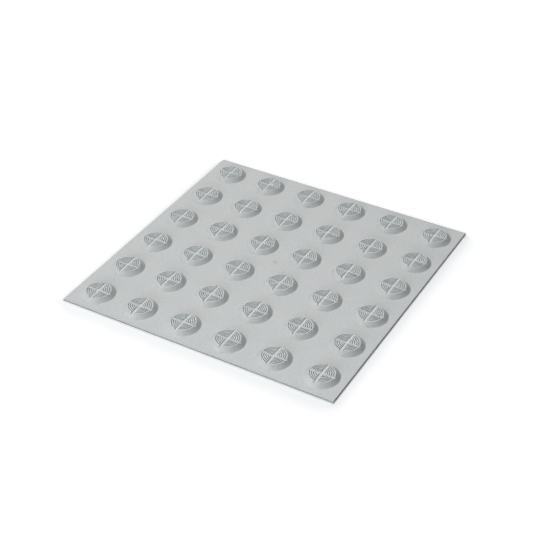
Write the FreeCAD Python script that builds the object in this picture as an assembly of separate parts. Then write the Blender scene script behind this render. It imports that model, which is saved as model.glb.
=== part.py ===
# Tactile ground-surface tile: a thin square plate and a square grid of low studs, moulded as one piece.
# Each stud is a truncated cone. Two drainage channels cross its flat top at right angles and run out
# through its flank on all four sides. The underside is flat, to be stuck down.
# Frame: +Z up, origin at the centre of the underside, X and Y along the tile's sides. Millimetres.
import FreeCAD
import Part

import os

from FreeCAD import Vector

# Plate
TILE_SIDE = 300.0
PLATE_THICKNESS = 2.0
PLATE_EDGE_ROUND = 0.3

# Studs, as many whole pitches as fit along a side, centred on the tile
STUD_PITCH = 50.0
STUD_BASE_DIAMETER = 35.0
STUD_TOP_DIAMETER = 26.0
STUD_HEIGHT = 4.0

# Drainage channels across the top of each stud, narrower at the floor than at the mouth
CHANNEL_MOUTH_WIDTH = 2.6
CHANNEL_FLOOR_WIDTH = 1.6
CHANNEL_DEPTH = 1.0

UP = Vector(0, 0, 1)


def plate():
    """The square plate, with the rim of its upper face rounded over."""
    corner = Vector(-TILE_SIDE / 2, -TILE_SIDE / 2, 0)
    slab = Part.makeBox(TILE_SIDE, TILE_SIDE, PLATE_THICKNESS, corner)
    rim = [edge for edge in slab.Edges if edge.BoundBox.ZMin > PLATE_THICKNESS / 2]
    return slab.makeFillet(PLATE_EDGE_ROUND, rim)


def frustum():
    """A plain stud: the half section from the axis out to the foot and up the flank, turned once round."""
    foot_level = PLATE_THICKNESS
    top_level = PLATE_THICKNESS + STUD_HEIGHT
    half_section = Part.makePolygon([
        Vector(0, 0, foot_level),
        Vector(STUD_BASE_DIAMETER / 2, 0, foot_level),
        Vector(STUD_TOP_DIAMETER / 2, 0, top_level),
        Vector(0, 0, top_level),
        Vector(0, 0, foot_level),
    ])
    return Part.Face(half_section).revolve(Vector(), UP, 360)


def channel_cross():
    """The two crossed bars of space that the channels take out of a stud's top. Their section is a trapezium
    whose walls lean outwards, carried on above the top by the same slope, and they run past the flank."""
    start = -STUD_BASE_DIAMETER / 2
    floor_level = PLATE_THICKNESS + STUD_HEIGHT - CHANNEL_DEPTH
    open_level = PLATE_THICKNESS + STUD_HEIGHT + CHANNEL_DEPTH
    half_floor = CHANNEL_FLOOR_WIDTH / 2
    half_open = CHANNEL_MOUTH_WIDTH - half_floor
    section = Part.makePolygon([
        Vector(start, -half_floor, floor_level),
        Vector(start, half_floor, floor_level),
        Vector(start, half_open, open_level),
        Vector(start, -half_open, open_level),
        Vector(start, -half_floor, floor_level),
    ])
    lengthwise = Part.Face(section).extrude(Vector(STUD_BASE_DIAMETER, 0, 0))
    crosswise = lengthwise.rotated(Vector(), UP, 90)
    return lengthwise.fuse(crosswise)


def stud_centres():
    """The square grid of stud centres."""
    count = int(TILE_SIDE // STUD_PITCH)
    steps = [(i - (count - 1) / 2) * STUD_PITCH for i in range(count)]
    return [Vector(x, y, 0) for y in steps for x in steps]


def tactile_tile():
    """The plate with a channelled stud fused on at every place of the grid."""
    stud = frustum().cut(channel_cross())
    studs = [stud.translated(centre) for centre in stud_centres()]
    return plate().fuse(studs).removeSplitter()


os.makedirs("parts", exist_ok=True)
tile = tactile_tile()
tile.exportStep("parts/tactile_tile.step")
print("solids", len(tile.Solids), "valid", tile.isValid(), "volume mm3", round(tile.Volume, 1))
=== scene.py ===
import math

import bmesh
import bpy
import numpy as np
from mathutils import Matrix, Vector


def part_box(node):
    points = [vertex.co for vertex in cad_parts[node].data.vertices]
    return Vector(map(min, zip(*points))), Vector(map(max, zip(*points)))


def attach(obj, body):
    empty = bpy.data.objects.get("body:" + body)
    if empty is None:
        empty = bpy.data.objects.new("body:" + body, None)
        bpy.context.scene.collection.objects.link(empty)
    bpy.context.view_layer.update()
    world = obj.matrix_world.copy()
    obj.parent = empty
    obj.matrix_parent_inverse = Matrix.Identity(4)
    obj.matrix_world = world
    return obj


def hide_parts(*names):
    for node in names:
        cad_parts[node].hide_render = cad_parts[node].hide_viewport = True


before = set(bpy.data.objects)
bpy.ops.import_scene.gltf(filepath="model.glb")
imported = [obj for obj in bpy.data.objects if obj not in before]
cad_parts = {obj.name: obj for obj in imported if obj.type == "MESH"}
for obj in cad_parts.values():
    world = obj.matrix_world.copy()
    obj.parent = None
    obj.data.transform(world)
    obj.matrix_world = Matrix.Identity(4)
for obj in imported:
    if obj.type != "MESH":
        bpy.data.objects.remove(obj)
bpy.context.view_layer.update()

# The tile
# A thin square plate and its grid of studs, moulded in one shot from light grey polyurethane and later stuck
# to a walking surface by its flat underside. Each stud is a truncated cone with ring grooves in its flat top
# for grip, and two crossed channels that let water run off through its flank. Sizes in millimetres.
MM = 0.001
tile_low, tile_high = (np.array(corner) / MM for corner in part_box("tactile_tile"))
tile_side = tile_high[0] - tile_low[0]
plate_thickness = 2.0
plate_edge_round = 0.3
plate_foot_round = 0.15
stud_pitch = 50.0
stud_height = tile_high[2] - plate_thickness
stud_base_radius = 17.5
stud_top_radius = 13.0
stud_foot_fillet = 0.7
stud_brow_round = 0.3
channel_floor_width = 1.6
channel_mouth_width = 2.6
channel_depth = 1.0
channel_lip = 0.2
channel_lip_drop = 0.06
hub_radius = 2.15
groove_count = 5
groove_first_radius = 3.25
groove_pitch = 2.0
groove_width = 1.1
groove_draft = 0.25
groove_edge_round = 0.08
groove_depth = 1.0
# Painted shading on the moulding: -1 is painted shade in the grooves and on the plate's edge and underside,
# +1 is painted highlight on the ridges, and the channels get painted highlight too.
groove_painted_shade = -1.0
edge_painted_shade = -1.0
ridge_painted_highlight = 1.0
channel_painted_highlight = 0.65
arc_steps = 3
quadrant_stations = 7
flat_margin = 0.4
weld_distance = 0.001
sharp_angle = math.radians(40)


def fillet_arc(corner, before, after, radius):
    """Points (across, up) of the arc of that radius which touches both lines through corner, from the line
    that leaves along before to the line that leaves along after: its centre lies on the bisector, at
    radius / sin(half the angle between the lines), and the arc turns from one foot to the other."""
    before, after = (np.array(d) / np.hypot(*d) for d in (before, after))
    half_angle = np.arccos(before @ after) / 2
    bisector = (before + after) / np.hypot(*(before + after))
    centre = np.array(corner) + bisector * radius / np.sin(half_angle)
    feet = [np.array(corner) + d * radius / np.tan(half_angle) - centre for d in (before, after)]
    turns = [np.arctan2(foot[1], foot[0]) for foot in feet]
    sweep = (turns[1] - turns[0] + np.pi) % (2 * np.pi) - np.pi
    turn = turns[0] + sweep * np.linspace(0, 1, arc_steps + 1)
    return centre + radius * np.stack([np.cos(turn), np.sin(turn)], 1)


def groove_section():
    """Points (radius, height over the stud's top) of the ring grooves: each one is a trapezium about its own
    radius, with walls that lean by the draft and edges that are eased at the top."""
    half = groove_width / 2
    across = np.array([half + groove_edge_round, half, half - groove_draft])
    across = np.concatenate([-across, across[::-1]])
    middles = groove_first_radius + groove_pitch * np.arange(groove_count)
    down = np.array([0, groove_edge_round, groove_depth, groove_depth, groove_edge_round, 0])
    return np.stack([(middles[:, None] + across).ravel(), -np.tile(down, groove_count)], 1)


def stud_section():
    """Points (radius, height over the plate) of a turned stud, from the edge of its hub to the plate round
    its foot: flat top with its grooves, brow round, straight flank, foot fillet and a flat margin. The flank
    has a point at the level of the channels' floor, where they run out."""
    run = stud_base_radius - stud_top_radius
    outlet = [(stud_top_radius + run * channel_depth / stud_height, stud_height - channel_depth)]
    brow = fillet_arc((stud_top_radius, stud_height), (-1, 0), (run, -stud_height), stud_brow_round)
    foot = fillet_arc((stud_base_radius, 0), (-run, stud_height), (1, 0), stud_foot_fillet)
    return np.concatenate([
        [(hub_radius + groove_draft, stud_height)],
        groove_section() + (0, stud_height),
        brow,
        outlet,
        foot,
        [(foot[-1][0] + flat_margin, 0)],
    ])


def round_stations(radius):
    """Angles of the stations round a stud, one row for each radius. Those beside a channel keep their
    distance from its middle line, so their angle is arcsin(distance / radius). The rest share out what is
    left of each quadrant evenly, and the middle one lies on its diagonal."""
    half_floor_width = channel_floor_width / 2
    half_mouth_width = channel_mouth_width / 2
    beside = np.array([0, half_floor_width, half_mouth_width, half_mouth_width + channel_lip])
    near = np.arcsin(beside / radius[:, None])
    share = np.arange(1, quadrant_stations + 1) / (quadrant_stations + 1)
    between = near[:, -1:] + (np.pi / 2 - 2 * near[:, -1:]) * share
    quadrant = np.concatenate([near, between, np.pi / 2 - near[:, :0:-1]], 1)
    return (quadrant[:, None, :] + np.arange(4)[:, None] * np.pi / 2).reshape(len(radius), -1)


def stud_cell():
    """Grid (row, station) of points and their tone, of one stud and the square of plate about it, centred on
    the stud. The height is the lower of the turned section and the channels' section, which is the floor's
    level between the channels' walls. The last row is the stations of the row before carried out to the
    square. The tone is painted shading: painted shade in the grooves and painted highlight on the ridges and
    in the channels of the flat top, and 0 on the rest."""
    section = stud_section()
    radius = np.concatenate([[hub_radius], section[:, 0]])
    floor = stud_height - channel_depth
    turned = np.concatenate([[floor], section[:, 1]])[:, None]
    angle = round_stations(radius)
    per_quadrant = angle.shape[1] // 4
    station = np.arange(angle.shape[1]) % per_quadrant
    in_channel = np.isin(station, (0, 1, per_quadrant - 1))
    on_lip = np.isin(station, (2, per_quadrant - 2))
    eased = turned - channel_lip_drop * np.clip((turned - floor) / channel_depth, 0, 1)
    height = np.where(in_channel, np.minimum(turned, floor), np.where(on_lip, eased, turned))
    on_top = (radius < stud_top_radius - stud_brow_round)[:, None]
    channelled = on_top & (in_channel | on_lip) | (radius <= hub_radius)[:, None]
    # Painted shade in the grooves, and painted highlight on the ridges, in the channels and on the hub.
    tone_and_painted_shading = np.where(on_top, np.where(turned < stud_height, groove_painted_shade, ridge_painted_highlight), 0)
    tone_and_painted_shading = np.where(channelled, channel_painted_highlight, tone_and_painted_shading)
    rows = np.stack([radius[:, None] * np.cos(angle), radius[:, None] * np.sin(angle), height, tone_and_painted_shading], 2)
    hub = rows[:1] * (0, 0, 1, 1)
    outward = rows[-1, :, :2] / np.abs(rows[-1, :, :2]).max(1, keepdims=True)
    square = np.concatenate([outward * stud_pitch / 2, np.zeros((len(outward), 2))], 1)[None]
    return np.concatenate([hub, rows, square]) + (0, 0, plate_thickness, 0)


def grid_faces(rows, stations):
    """Corner numbers of the quads between neighbouring rows and stations of a grid whose last station is
    joined to its first."""
    index = np.arange(rows * stations).reshape(rows, stations)
    ahead = np.roll(index, -1, 1)
    return np.stack([index[:-1], index[1:], ahead[1:], ahead[:-1]], 2).reshape(-1, 4)


def stud_steps():
    """Places of the studs along a side: whole pitches, centred on the tile."""
    count = round(tile_side / stud_pitch)
    return (np.arange(count) - (count - 1) / 2) * stud_pitch


def plate_rim(square):
    """Grid (row, station) of points and their tone, of the plate's edge and underside: the section (inset,
    height) of the edge carried round the tile's outline, which is shrunk about the tile's middle by the
    inset. The last inset is half the side, so the underside closes in one point. The tone is 0 on the upper
    face, and painted shade on the edge and the underside."""
    half = tile_side / 2
    steps = stud_steps()
    along = np.sort(square[np.isclose(square[:, 0], stud_pitch / 2), 1])[:-1]
    side = (steps[:, None] + along).ravel()
    right = np.stack([np.full_like(side, half), side], 1)
    turns = [np.array(((c, s), (-s, c))) for c, s in ((1, 0), (0, 1), (-1, 0), (0, -1))]
    outline = np.concatenate([right @ turn for turn in turns])
    top = fillet_arc((0, plate_thickness), (1, 0), (0, -1), plate_edge_round)
    foot = fillet_arc((0, 0), (0, 1), (1, 0), plate_foot_round)
    section = np.concatenate([[(plate_edge_round + flat_margin, plate_thickness)], top, foot, [(half, 0)]])
    shrunk = outline * (1 - section[:, 0] / half)[:, None, None]
    # Painted shade on the plate's edge and underside.
    tone_and_painted_shading = np.where(section[:, 1] < plate_thickness - plate_edge_round / 2, edge_painted_shade, 0)
    level_and_painted_shade = np.stack([section[:, 1], tone_and_painted_shading], 1)[:, None]
    return np.concatenate([shrunk, np.broadcast_to(level_and_painted_shade, shrunk.shape)], 2)


def tile_mesh():
    """The welded mesh of the tile: the stud's cell at every place of the grid, and the rim that closes it.
    The points of the cells on the tile's outline are drawn in to where the rim starts."""
    cell = stud_cell()
    x, y = np.meshgrid(stud_steps(), stud_steps())
    places = np.stack([x.ravel(), y.ravel(), np.zeros(x.size), np.zeros(x.size)], 1)
    cells = places[:, None, None, :] + cell
    rim = plate_rim(cell[-1])
    outer = np.isclose(np.abs(cells[..., :2]).max(-1), tile_side / 2)
    cells[..., :2] *= np.where(outer, np.abs(rim[0, :, :2]).max() / (tile_side / 2), 1)[..., None]
    cell_points = cell.shape[0] * cell.shape[1]
    starts = np.arange(len(places)) * cell_points
    faces = np.concatenate([
        (grid_faces(*cell.shape[:2]) + starts[:, None, None]).reshape(-1, 4),
        grid_faces(*rim.shape[:2]) + len(places) * cell_points,
    ])
    points = np.concatenate([cells.reshape(-1, 4), rim.reshape(-1, 4)])
    mesh = bpy.data.meshes.new("tactile_tile_moulding")
    mesh.from_pydata(points[:, :3] * MM, [], faces)
    # Each point carries its painted shading as an attribute.
    painted_shades = mesh.attributes.new("tone_and_painted_shading", "FLOAT", "POINT")
    painted_shades.data.foreach_set("value", points[:, 3].astype(np.float32))
    welder = bmesh.new()
    welder.from_mesh(mesh)
    bmesh.ops.remove_doubles(welder, verts=welder.verts, dist=weld_distance * MM)
    welder.to_mesh(mesh)
    welder.free()
    mesh.polygons.foreach_set("use_smooth", np.ones(len(mesh.polygons), bool))
    mesh.set_sharp_from_angle(angle=sharp_angle)
    return mesh


def linear(hex_colour):
    """Linear RGBA of an sRGB hex colour, by the sRGB curve."""
    srgb = np.array([int(hex_colour[i:i + 2], 16) for i in (1, 3, 5)]) / 255
    value = np.where(srgb <= 0.04045, srgb / 12.92, ((srgb + 0.055) / 1.055) ** 2.4)
    return (*value.tolist(), 1.0)


def add_node(tree, kind, settings=None, **inputs):
    """Adds a node, sets its settings by name, and sets or links its inputs: a socket is linked, and anything
    else is the input's value. An input is named with _ for a space, or numbered as in_0."""
    node = tree.nodes.new(kind)
    for name, value in (settings or {}).items():
        setattr(node, name, value)
    for name, value in inputs.items():
        key = int(name[3:]) if name.startswith("in_") else name.replace("_", " ")
        if isinstance(value, bpy.types.NodeSocket):
            tree.links.new(value, node.inputs[key])
        else:
            node.inputs[key].default_value = value
    return node


def moulded_polyurethane():
    """Light grey polyurethane from a finely blasted mould: an even matte grey that drifts a little in tone
    and is lightly flecked, with a soft sheen broken up by the grain. Painted shade darkens it in the ring
    grooves, on the plate's edge and underneath, and painted highlight makes it paler on the ridges between
    the grooves and in the channels. Near the tile's middle it has a faint smudge."""
    cloud_size = 28 * MM
    cloud_dull, cloud_fair = "#C0C2C1", "#C9CAC9"
    # Greys that the painted shade and the painted highlight mix towards.
    painted_shade_grey = "#A5ABAC"
    painted_highlight_grey = "#DDDFDF"
    # The blast grain and its flecks are too fine to show, so both are drawn coarser than they are.
    fleck_size = 2.2 * MM
    fleck_swing = 0.13
    grain_size = 0.45 * MM
    grain_height = 0.03 * MM
    grain_bite = 0.25
    sheen_smooth, sheen_rough = 0.4, 0.56
    smudge_place = (1.0 * MM, 6.0 * MM, plate_thickness * MM)
    smudge_radius = 4.6 * MM
    smudge_shade = 0.8
    material = bpy.data.materials.new("Grey polyurethane, moulded")
    material.use_nodes = True
    tree = material.node_tree
    tree.nodes.clear()
    place = add_node(tree, "ShaderNodeTexCoord").outputs["Object"]
    cloud = add_node(tree, "ShaderNodeTexNoise", Vector=place, Scale=1 / cloud_size, Detail=3.0).outputs[0]
    fleck = add_node(tree, "ShaderNodeTexNoise", Vector=place, Scale=1 / fleck_size, Detail=1.0).outputs[0]
    grain = add_node(tree, "ShaderNodeTexNoise", Vector=place, Scale=1 / grain_size, Detail=2.0).outputs[0]
    # The painted shading read from the points darkens the colour as painted shade and pales it as painted
    # highlight.
    painted_shading = add_node(tree, "ShaderNodeAttribute", {"attribute_name": "tone_and_painted_shading"}).outputs["Fac"]
    painted_shade_share = add_node(tree, "ShaderNodeMapRange", Value=painted_shading, From_Min=0.0, From_Max=-1.0).outputs[0]
    painted_highlight_share = add_node(tree, "ShaderNodeMapRange", Value=painted_shading).outputs[0]
    drift_and_painted_shading = add_node(tree, "ShaderNodeMix", {"data_type": "RGBA"}, in_0=cloud, in_6=linear(cloud_dull),
                     in_7=linear(cloud_fair)).outputs[2]
    drift_and_painted_shading = add_node(tree, "ShaderNodeMix", {"data_type": "RGBA"}, in_0=painted_shade_share, in_6=drift_and_painted_shading,
                     in_7=linear(painted_shade_grey)).outputs[2]
    drift_and_painted_shading = add_node(tree, "ShaderNodeMix", {"data_type": "RGBA"}, in_0=painted_highlight_share, in_6=drift_and_painted_shading,
                     in_7=linear(painted_highlight_grey)).outputs[2]
    fleck = add_node(tree, "ShaderNodeMapRange", Value=fleck, To_Min=1 - fleck_swing,
                     To_Max=1 + fleck_swing).outputs[0]
    away = add_node(tree, "ShaderNodeVectorMath", {"operation": "DISTANCE"}, in_0=place,
                    in_1=smudge_place).outputs["Value"]
    smudge = add_node(tree, "ShaderNodeMapRange", {"interpolation_type": "SMOOTHSTEP"}, Value=away,
                      From_Max=smudge_radius, To_Min=smudge_shade, To_Max=1.0).outputs[0]
    shade = add_node(tree, "ShaderNodeMath", {"operation": "MULTIPLY"}, in_0=fleck, in_1=smudge).outputs[0]
    tone_and_painted_shading = add_node(tree, "ShaderNodeMix", {"data_type": "RGBA", "blend_type": "MULTIPLY"}, in_0=1.0,
                    in_6=drift_and_painted_shading, in_7=shade).outputs[2]
    rough = add_node(tree, "ShaderNodeMapRange", Value=grain, To_Min=sheen_smooth,
                     To_Max=sheen_rough).outputs[0]
    bump = add_node(tree, "ShaderNodeBump", Height=grain, Strength=grain_bite,
                    Distance=grain_height).outputs[0]
    shader = add_node(tree, "ShaderNodeBsdfPrincipled", Base_Color=tone_and_painted_shading, Roughness=rough, Normal=bump,
                      IOR=1.5, Specular_IOR_Level=0.5)
    add_node(tree, "ShaderNodeOutputMaterial", Surface=shader.outputs[0])
    return material


tile = bpy.data.objects.new("tactile_tile_moulding", tile_mesh())
bpy.context.scene.collection.objects.link(tile)
tile.data.materials.append(moulded_polyurethane())
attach(tile, "root")
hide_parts("tactile_tile")

# The floor
# A wide sheet of white paper under the tile, as in a product studio. It shows white to the camera and keeps
# the soft shadow that the tile casts on it. Sizes in metres.
floor_side = 30.0
paper_seen = "#EDEDED"
paper_bounce = "#606060"
paper_glow = 0.475
far_glow = 0.5
far_start, far_end = 0.25, 1.5
shadow_reach = 0.026
shadow_depth = 0.205
shadow_falloff = 0.5
shadow_faint, shadow_full = 0.02, 0.25
shadow_samples = 32
shadow_lean = Vector((-0.1, 0.65, 0.7)).normalized()


def seen_share(tree):
    """Socket that is 1 for what the camera sees, directly, mirrored or through glass, and 0 for other light:
    the largest of the three ray kinds."""
    ray = add_node(tree, "ShaderNodeLightPath").outputs
    seen = add_node(tree, "ShaderNodeMath", {"operation": "MAXIMUM"}, in_0=ray["Is Camera Ray"],
                    in_1=ray["Is Glossy Ray"]).outputs[0]
    return add_node(tree, "ShaderNodeMath", {"operation": "MAXIMUM"}, in_0=seen,
                    in_1=ray["Is Transmission Ray"]).outputs[0]


def white_paper():
    """White studio paper: a plain matte sheet. What the camera sees of it, directly or mirrored, has a glow
    added that brings the lit sheet up to white. The glow grows away from the tile, where the lamps don't
    reach, and sinks where the tile shuts off the light close by: by a power of the share that is shut off,
    counted about a fixed direction that leans to the rear, so that the shadow falls to the front."""
    material = bpy.data.materials.new("White paper, matte")
    material.use_nodes = True
    tree = material.node_tree
    tree.nodes.clear()
    seen = seen_share(tree)
    paper = add_node(tree, "ShaderNodeMix", {"data_type": "RGBA"}, in_0=seen, in_6=linear(paper_bounce),
                     in_7=linear(paper_seen)).outputs[2]
    sheet = add_node(tree, "ShaderNodeBsdfDiffuse", Color=paper).outputs[0]
    lean = add_node(tree, "ShaderNodeCombineXYZ", in_0=shadow_lean[0], in_1=shadow_lean[1],
                    in_2=shadow_lean[2]).outputs[0]
    open_share = add_node(tree, "ShaderNodeAmbientOcclusion", {"samples": shadow_samples},
                          Distance=shadow_reach, Normal=lean).outputs["AO"]
    shut_share = add_node(tree, "ShaderNodeMath", {"operation": "SUBTRACT"}, in_0=1.0,
                          in_1=open_share).outputs[0]
    spread = add_node(tree, "ShaderNodeMath", {"operation": "POWER"}, in_0=shut_share,
                      in_1=shadow_falloff).outputs[0]
    shadow = add_node(tree, "ShaderNodeMapRange", Value=spread, From_Min=shadow_faint,
                      From_Max=shadow_full, To_Max=shadow_depth).outputs[0]
    place = add_node(tree, "ShaderNodeTexCoord").outputs["Object"]
    away = add_node(tree, "ShaderNodeVectorMath", {"operation": "LENGTH"}, in_0=place).outputs["Value"]
    open_glow = add_node(tree, "ShaderNodeMapRange", Value=away, From_Min=far_start, From_Max=far_end,
                         To_Min=paper_glow, To_Max=paper_glow + far_glow).outputs[0]
    lit = add_node(tree, "ShaderNodeMath", {"operation": "SUBTRACT"}, in_0=open_glow, in_1=shadow).outputs[0]
    glow = add_node(tree, "ShaderNodeMath", {"operation": "MULTIPLY"}, in_0=seen, in_1=lit).outputs[0]
    light = add_node(tree, "ShaderNodeEmission", Strength=glow).outputs[0]
    both = add_node(tree, "ShaderNodeAddShader", in_0=sheet, in_1=light).outputs[0]
    add_node(tree, "ShaderNodeOutputMaterial", Surface=both)
    return material


floor_corners = np.array([(-1, -1, 0), (1, -1, 0), (1, 1, 0), (-1, 1, 0)]) * floor_side / 2
floor_mesh = bpy.data.meshes.new("studio_floor")
floor_mesh.from_pydata(floor_corners, [], [(0, 1, 2, 3)])
floor = bpy.data.objects.new("studio_floor", floor_mesh)
bpy.context.scene.collection.objects.link(floor)
floor_mesh.materials.append(white_paper())

# The studio light
# A large soft box far off behind the tile, a round one nearer by at its front left, and a low panel in front
# of it that opens up the shaded flanks. The room itself adds a little cool light from all round. Sizes in
# metres.
rear_box_spread = math.radians(22)
rear_box_bearing, rear_box_height = math.radians(120), math.radians(46)
rear_box_strength = 1.20
front_box_bearing, front_box_height = math.radians(224), math.radians(52)
front_box_distance = 2.6
front_box_width = 1.0
front_box_watts = 27.0
fill_panel_place = Vector((0.0, -2.45, 0.52))
fill_panel_side = 1.2
fill_panel_watts = 37.0
fill_panel_colour = "#F4FAFC"
room_light = 0.04
room_colour = "#A8DCEB"
backdrop_light = 1.0
backdrop_colour = "#FFFFFF"


def toward(bearing, height):
    """Unit vector towards a light, from its bearing, counted from +X towards +Y, and its height over the
    floor: cos and sin of the bearing, shortened by the cos of the height, and the sin of the height."""
    level = math.cos(height)
    return Vector((math.cos(bearing) * level, math.sin(bearing) * level, math.sin(height)))


def hang_light(name, kind, place, settings):
    """Adds a light of that kind at the place, turned to face the tile."""
    light = bpy.data.lights.new(name, kind)
    for setting, value in settings.items():
        setattr(light, setting, value)
    lamp = bpy.data.objects.new(name, light)
    lamp.location = place
    lamp.rotation_euler = (-place).to_track_quat("-Z", "Y").to_euler()
    bpy.context.scene.collection.objects.link(lamp)


hang_light("soft_box_rear", "SUN", toward(rear_box_bearing, rear_box_height),
           {"angle": rear_box_spread, "energy": rear_box_strength})
hang_light("soft_box_front", "AREA", front_box_distance * toward(front_box_bearing, front_box_height),
           {"shape": "DISK", "size": front_box_width, "energy": front_box_watts})
hang_light("fill_panel", "AREA", fill_panel_place,
           {"size": fill_panel_side, "energy": fill_panel_watts, "color": linear(fill_panel_colour)[:3]})

world = bpy.data.worlds.new("studio_room")
bpy.context.scene.world = world
world.use_nodes = True
room_tree = world.node_tree
room_tree.nodes.clear()
seen = seen_share(room_tree)
strength = add_node(room_tree, "ShaderNodeMapRange", Value=seen, To_Min=room_light,
                    To_Max=backdrop_light).outputs[0]
colour = add_node(room_tree, "ShaderNodeMix", {"data_type": "RGBA"}, in_0=seen, in_6=linear(room_colour),
                  in_7=linear(backdrop_colour)).outputs[2]
room = add_node(room_tree, "ShaderNodeBackground", Color=colour, Strength=strength).outputs[0]
add_node(room_tree, "ShaderNodeOutputWorld", Surface=room)

# The camera
# A long lens that looks down over the tile's near corner, held level but for a slight roll.
# Lens and sensor in millimetres, places in metres.
camera_place = Vector((0.5116, -0.8800, 0.7537))
camera_aim = Vector((-0.0027, -0.0049, 0.0020))
camera_roll = math.radians(-0.51)
camera_lens = 83.87
camera_sensor = 36.0

camera_data = bpy.data.cameras.new("camera")
camera_data.lens = camera_lens
camera_data.sensor_width = camera_sensor
camera = bpy.data.objects.new("camera", camera_data)
look = (camera_aim - camera_place).to_track_quat("-Z", "Y").to_matrix().to_4x4()
camera.matrix_world = Matrix.Translation(camera_place) @ look @ Matrix.Rotation(camera_roll, 4, "Z")
bpy.context.scene.collection.objects.link(camera)
bpy.context.scene.camera = camera
bpy.context.scene.view_settings.view_transform = "Standard"
